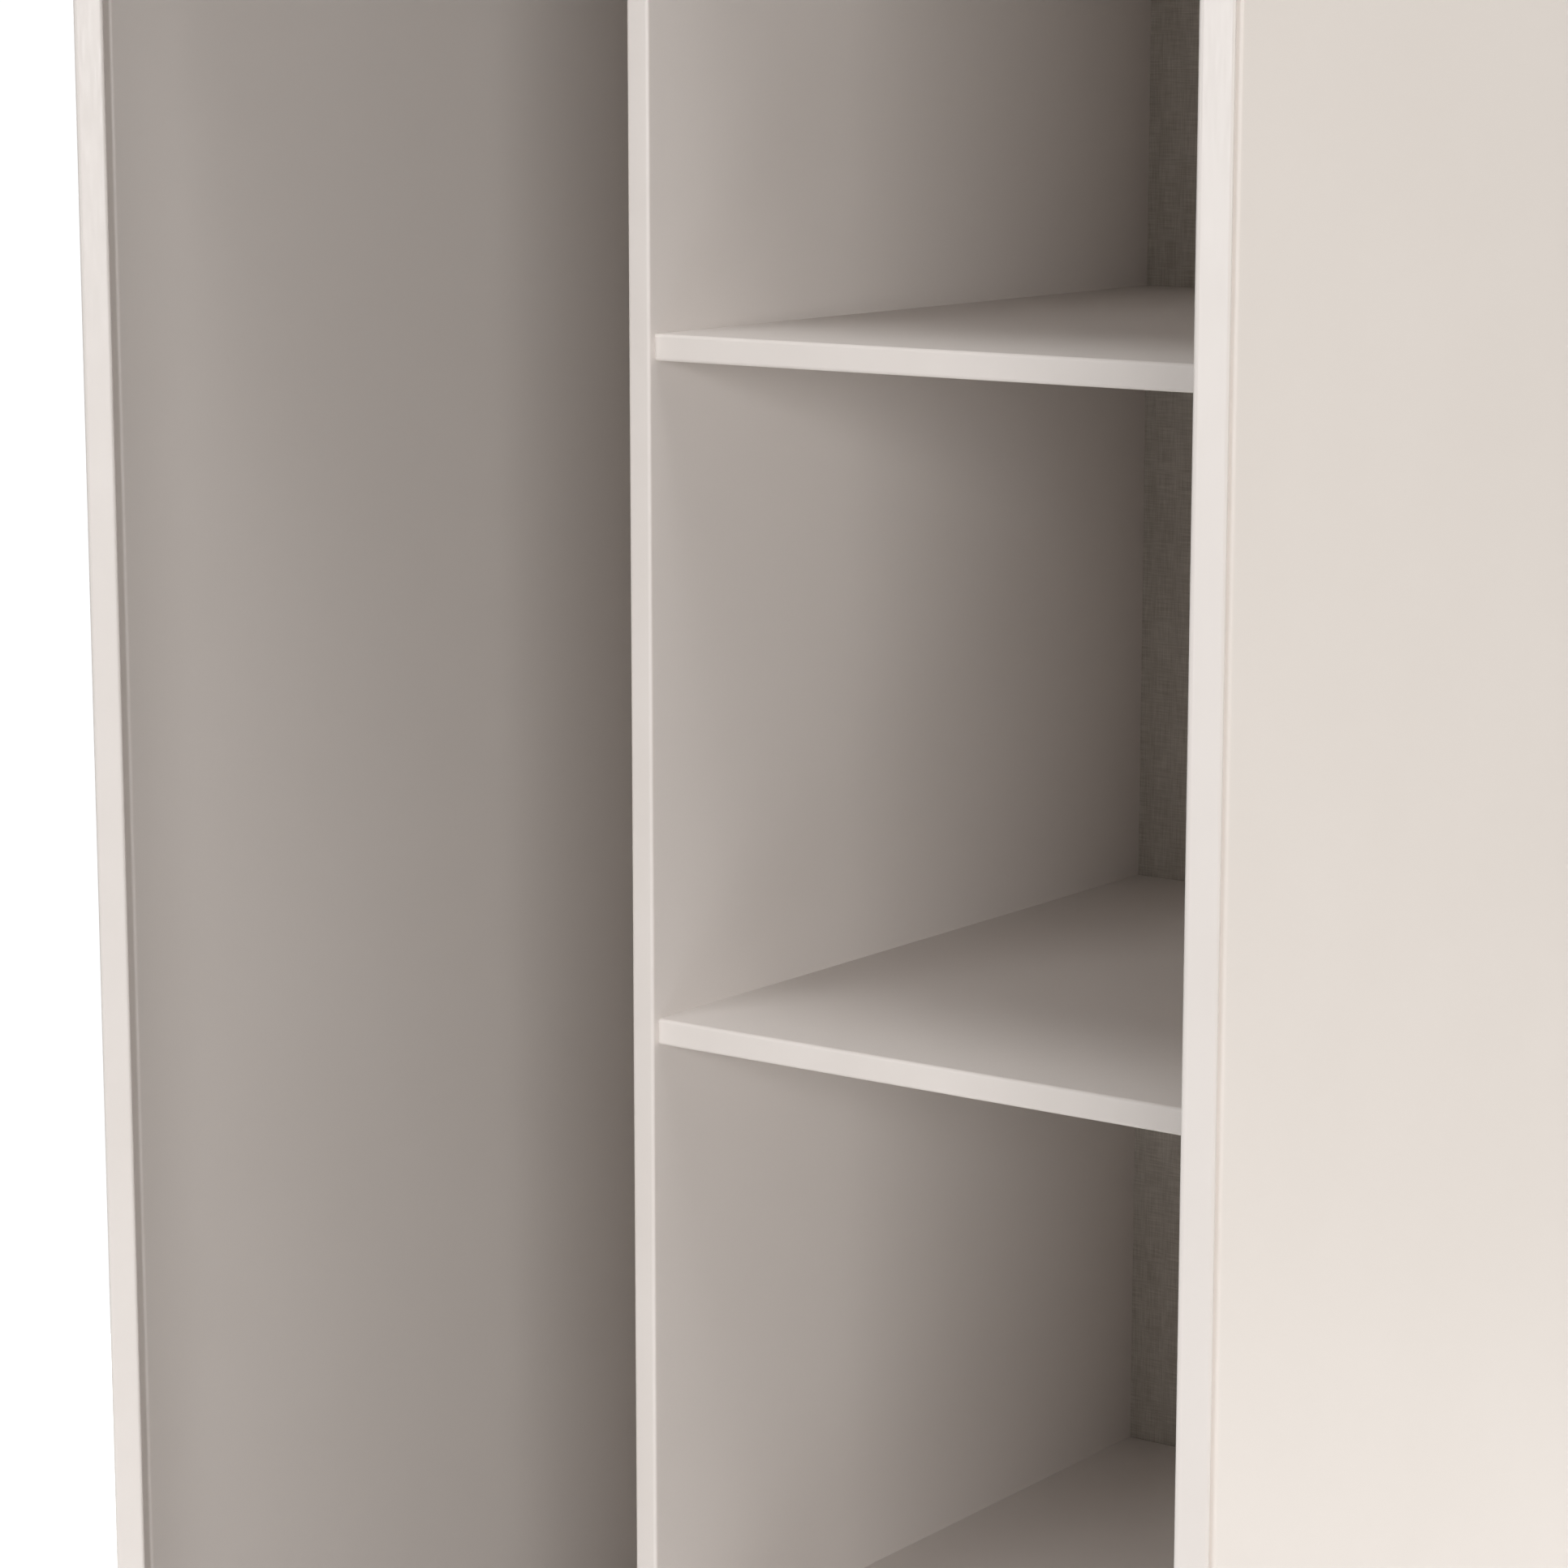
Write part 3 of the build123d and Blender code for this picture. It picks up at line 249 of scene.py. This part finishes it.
def linen_hardboard(name):
    """Thin hardboard: a printed and pressed linen weave in front, bare brown fibre behind."""
    finish = Finish(name)
    warp = finish.noise(THREAD, along=WARP)
    weft = finish.noise(THREAD, along=WEFT)
    slubs = finish.noise(SLUB, along=SLUB_STRETCH)
    weave = finish.math("MULTIPLY", finish.math("ADD", warp, weft), 0.5)
    unevenness = finish.math("MULTIPLY", finish.math("SUBTRACT", slubs, 0.5), SLUB_SHARE)
    weave = finish.math("ADD", weave, unevenness)
    linen = finish.tinted(weave, LINEN_DARK, LINEN_LIGHT, start=0.36, end=0.64)
    fuzz = finish.noise(FUZZ, detail=6.0, along=EVERY_WAY, distortion=0.6)
    patches = finish.noise(PATCH, detail=3.0)
    fibre_tone = finish.mingled(fuzz, patches, first_share=0.7)
    fibre = finish.tinted(fibre_tone, FIBRE_DARK, FIBRE_LIGHT)
    front = finish.looking(TO_THE_FRONT)
    smoother = finish.math("MULTIPLY", front, LINEN_SMOOTHNESS)
    finish.set(
        Base_Color=finish.blend(front, fibre, linen),
        Roughness=finish.math("SUBTRACT", FIBRE_ROUGHNESS, smoother),
        Specular_IOR_Level=0.35,
    )
    finish.relief(finish.blend(front, fuzz, weave), depth=0.12 * MM, strength=0.6)
    return finish.material


# ---------------------------------------------------------------- metals
BLOOM = 14 * MM

METALS = {
    # light tone, dark tone, roughness range,
    # size of a mark, how the marks stretch, their depth
    "chrome_tube": (
        (0.86, 0.87, 0.88), (0.79, 0.80, 0.82), (0.05, 0.10),
        0.6 * MM, (0.03, 1.0, 1.0), 0.004 * MM),
    "nickel_cast": (
        (0.72, 0.70, 0.67), (0.60, 0.59, 0.57), (0.26, 0.38),
        0.7 * MM, (1.0, 1.0, 0.6), 0.02 * MM),
    "zinc_steel": (
        (0.72, 0.73, 0.74), (0.55, 0.56, 0.57), (0.22, 0.36),
        0.5 * MM, EVERY_WAY, 0.02 * MM),
    "plated_steel": (
        (0.68, 0.69, 0.70), (0.55, 0.56, 0.58), (0.28, 0.42),
        0.5 * MM, (0.1, 1.0, 1.0), 0.015 * MM),
    "die_cast": (
        (0.58, 0.58, 0.59), (0.44, 0.44, 0.46), (0.40, 0.58),
        0.8 * MM, EVERY_WAY, 0.06 * MM),
}


def metal(name, light, dark, roughness, mark_size, along, depth):
    """Plated or cast metal: directional marks in its tone, its roughness range and its relief."""
    finish = Finish(name)
    marks = finish.noise(mark_size, detail=4.0, along=along)
    bloom = finish.noise(BLOOM, detail=3.0)
    tone = finish.mingled(marks, bloom, first_share=0.55)
    finish.set(
        Base_Color=finish.tinted(tone, dark, light),
        Metallic=1.0,
        Roughness=finish.ranged(tone, *roughness),
    )
    finish.relief(marks, depth, strength=0.5)
    return finish.material


# ---------------------------------------------------------------- wood
BEECH_GRAIN = 1.1 * MM
GRAIN_ALONG_X = (0.12, 1.0, 1.0)
RAY_FLECK = 1.4 * MM
FLECKS_ALONG_X = (0.3, 1.0, 1.0)


def beech(name):
    """Turned beech: long grain with short dark ray flecks."""
    finish = Finish(name)
    grain = finish.noise(BEECH_GRAIN, detail=4.0, along=GRAIN_ALONG_X, distortion=0.4)
    flecks = finish.cells(RAY_FLECK, FLECKS_ALONG_X)
    tone = finish.mingled(grain, flecks, first_share=0.75)
    finish.set(
        Base_Color=finish.tinted(tone, BEECH_DARK, BEECH_LIGHT),
        Roughness=finish.ranged(grain, 0.55, 0.7),
    )
    finish.relief(grain, depth=0.08 * MM, strength=0.5)
    return finish.material


# ---------------------------------------------------------------- plastics and rubber
FLOW = 18 * MM
MOULD_GRAIN = 0.4 * MM
HAZE = 1.5 * MM

PLASTICS = {
    # light and dark tone, roughness range
    "glide_plastic": ((0.56, 0.53, 0.49), (0.50, 0.47, 0.43), (0.42, 0.56)),
    "bush_nylon": ((0.83, 0.82, 0.78), (0.76, 0.75, 0.70), (0.34, 0.46)),
    "latch_plastic": ((0.72, 0.69, 0.65), (0.66, 0.63, 0.59), (0.36, 0.50)),
}


def plastic(name, light, dark, roughness):
    """Moulded plastic: a fine spark-eroded grain and a faint flow of tone."""
    finish = Finish(name)
    flow = finish.noise(FLOW, distortion=0.8)
    grain = finish.noise(MOULD_GRAIN)
    finish.set(
        Base_Color=finish.tinted(flow, dark, light),
        Roughness=finish.ranged(grain, *roughness),
        Specular_IOR_Level=0.5,
    )
    finish.relief(grain, depth=0.02 * MM, strength=0.6)
    return finish.material


def silicone(name):
    """Clear soft silicone, milky inside and slightly dusty on top."""
    finish = Finish(name)
    haze = finish.noise(HAZE, detail=3.0)
    finish.set(
        Base_Color=finish.tinted(haze, SILICONE_DARK, SILICONE_LIGHT),
        Roughness=finish.ranged(haze, 0.22, 0.4),
        Transmission_Weight=0.55,
        IOR=1.41,
    )
    finish.relief(haze, depth=0.03 * MM, strength=0.4)
    return finish.material


# ---------------------------------------------------------------- a finish for each node
OTHERS = {
    "edge_band": edge_band,
    "linen_hardboard": linen_hardboard,
    "beech": beech,
    "silicone": silicone,
}


def widest_face(obj):
    """The direction that most of a board's surface looks along."""
    areas = {}
    for face in obj.data.polygons:
        normal = face.normal if face.normal.x + face.normal.y + face.normal.z > 0 else -face.normal
        key = tuple(round(part, 2) for part in normal)
        areas[key] = areas.get(key, 0.0) + face.area
    return max(areas, key=areas.get)


def finish_for(slot):
    """The material of a slot that looks the same on every node."""
    name = f"{slot}_look"
    if slot in METALS:
        return metal(name, *METALS[slot])
    if slot in PLASTICS:
        return plastic(name, *PLASTICS[slot])
    return OTHERS[slot](name)


boards = {}
for subpart in frame["record"]["subparts"]:
    obj, slot = nodes[subpart["node"]], subpart["material_slot"]
    if slot == "melamine_board":
        axis = widest_face(obj)
        if axis not in boards:
            boards[axis] = melamine(f"{slot}_{len(boards) + 1}", axis)
        look = boards[axis]
    else:
        look = bpy.data.materials.get(f"{slot}_look") or finish_for(slot)
    obj.data.materials.clear()
    obj.data.materials.append(look)

# ---------------------------------------------------------------- floor
FLOOR_RADIUS = 2.0
FLOOR_SIDES = 96
FLOOR_DROP = 0.3 * MM
MOTTLE = 0.35
GLOW_DISTANCE = (0.5, 1.25)
GLOW = (0.1, 0.85)


def floor_finish():
    """Pale matt floor with a painted glow: it emits light faintly near the wardrobe and strongly away
    from it, so it brightens to plain white away from the wardrobe.
    """
    finish = Finish("studio_floor")
    distance = finish.tree.nodes.new("ShaderNodeVectorMath")
    distance.operation = "LENGTH"
    finish.feed(distance.inputs[0], finish.place)
    mottle = finish.noise(MOTTLE, detail=3.0)
    finish.set(
        Base_Color=finish.tinted(mottle, FLOOR_SHADE, FLOOR_LIGHT),
        Roughness=0.6,
        Specular_IOR_Level=0.2,
        Emission_Color=WHITE,
        Emission_Strength=finish.ranged(distance.outputs["Value"], *GLOW, *GLOW_DISTANCE),
    )
    return finish.material


floor_mesh = bpy.data.meshes.new("floor")
turns = [2 * pi * i / FLOOR_SIDES for i in range(FLOOR_SIDES)]
rim = [(FLOOR_RADIUS * cos(turn), FLOOR_RADIUS * sin(turn), -FLOOR_DROP) for turn in turns]
floor_mesh.from_pydata(rim, [], [tuple(range(FLOOR_SIDES))])
floor_mesh.materials.append(floor_finish())
floor = bpy.data.objects.new("floor", floor_mesh)
bpy.context.scene.collection.objects.link(floor)

# ---------------------------------------------------------------- studio light
LIGHT_DISTANCE = 5.0
NEUTRAL = (1.0, 0.985, 0.98)
WARM = (1.0, 0.955, 0.885)
side_low, side_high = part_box("left_side")
MIDDLE = Vector((0.0, 0.0, (side_low.z + side_high.z) / 2))

SOFTBOXES = {
    # azimuth and elevation in degrees, width, height, watts, colour
    "key": (40, 8, 1.0, 1.4, 91, NEUTRAL),
    "right_fill": (108, 15, 1.6, 2.0, 98, WARM),
    "top": (40, 75, 2.0, 2.0, 110, WHITE),
    "front_fill": (-15, 15, 1.6, 2.0, 66, NEUTRAL),
    "rear": (200, 20, 1.8, 2.2, 80, WHITE),
    "left_fill": (-105, 15, 1.8, 2.2, 60, WHITE),
}


def direction(azimuth, elevation):
    """A unit vector from the wardrobe, azimuth degrees round to the right from straight ahead."""
    turn, rise = radians(azimuth), radians(elevation)
    return Vector((sin(turn) * cos(rise), -cos(turn) * cos(rise), sin(rise)))


def softbox(name, azimuth, elevation, width, height, watts, colour):
    """A rectangular soft light that faces the middle of the wardrobe."""
    lamp = bpy.data.lights.new(name, "AREA")
    lamp.shape = "RECTANGLE"
    lamp.size = width
    lamp.size_y = height
    lamp.energy = watts
    lamp.color = colour
    holder = bpy.data.objects.new(name, lamp)
    outward = direction(azimuth, elevation)
    holder.location = MIDDLE + outward * LIGHT_DISTANCE
    holder.rotation_euler = (-outward).to_track_quat("-Z", "Y").to_euler()
    bpy.context.scene.collection.objects.link(holder)


for light_name, settings in SOFTBOXES.items():
    softbox(light_name, *settings)

# ---------------------------------------------------------------- world
AMBIENT = 0.05
BACKDROP = 1.05


def white_background(tree, name, strength):
    """A white background shader of a given strength, in a world's node tree."""
    made = tree.nodes.new("ShaderNodeBackground")
    made.name = name
    made.inputs["Color"].default_value = (*WHITE, 1.0)
    made.inputs["Strength"].default_value = strength
    return made.outputs["Background"]


def studio_world():
    """A weak ambient light all round, and a white backdrop where the background is seen directly."""
    world = bpy.data.worlds.new("studio")
    world.use_nodes = True
    tree = world.node_tree
    tree.nodes.remove(tree.nodes["Background"])
    rays = tree.nodes.new("ShaderNodeLightPath")
    choice = tree.nodes.new("ShaderNodeMixShader")
    tree.links.new(rays.outputs["Is Camera Ray"], choice.inputs[0])
    tree.links.new(white_background(tree, "ambient", AMBIENT), choice.inputs[1])
    tree.links.new(white_background(tree, "backdrop", BACKDROP), choice.inputs[2])
    tree.links.new(choice.outputs["Shader"], tree.nodes["World Output"].inputs["Surface"])
    return world


bpy.context.scene.world = studio_world()
bpy.context.scene.view_settings.view_transform = "Standard"

# ---------------------------------------------------------------- camera
CAMERA_PLACE = Vector((1.521, -2.178, 1.4016))
CAMERA_YAW = 36.25
CAMERA_PITCH = 10.15
SENSOR = 36.0
LENS = 100.38

camera = bpy.data.cameras.new("camera")
camera.sensor_width = SENSOR
camera.lens = LENS
viewpoint = bpy.data.objects.new("camera", camera)
viewpoint.location = CAMERA_PLACE
viewpoint.rotation_euler = (radians(90.0 - CAMERA_PITCH), 0.0, radians(CAMERA_YAW))
bpy.context.scene.collection.objects.link(viewpoint)
bpy.context.scene.camera = viewpoint
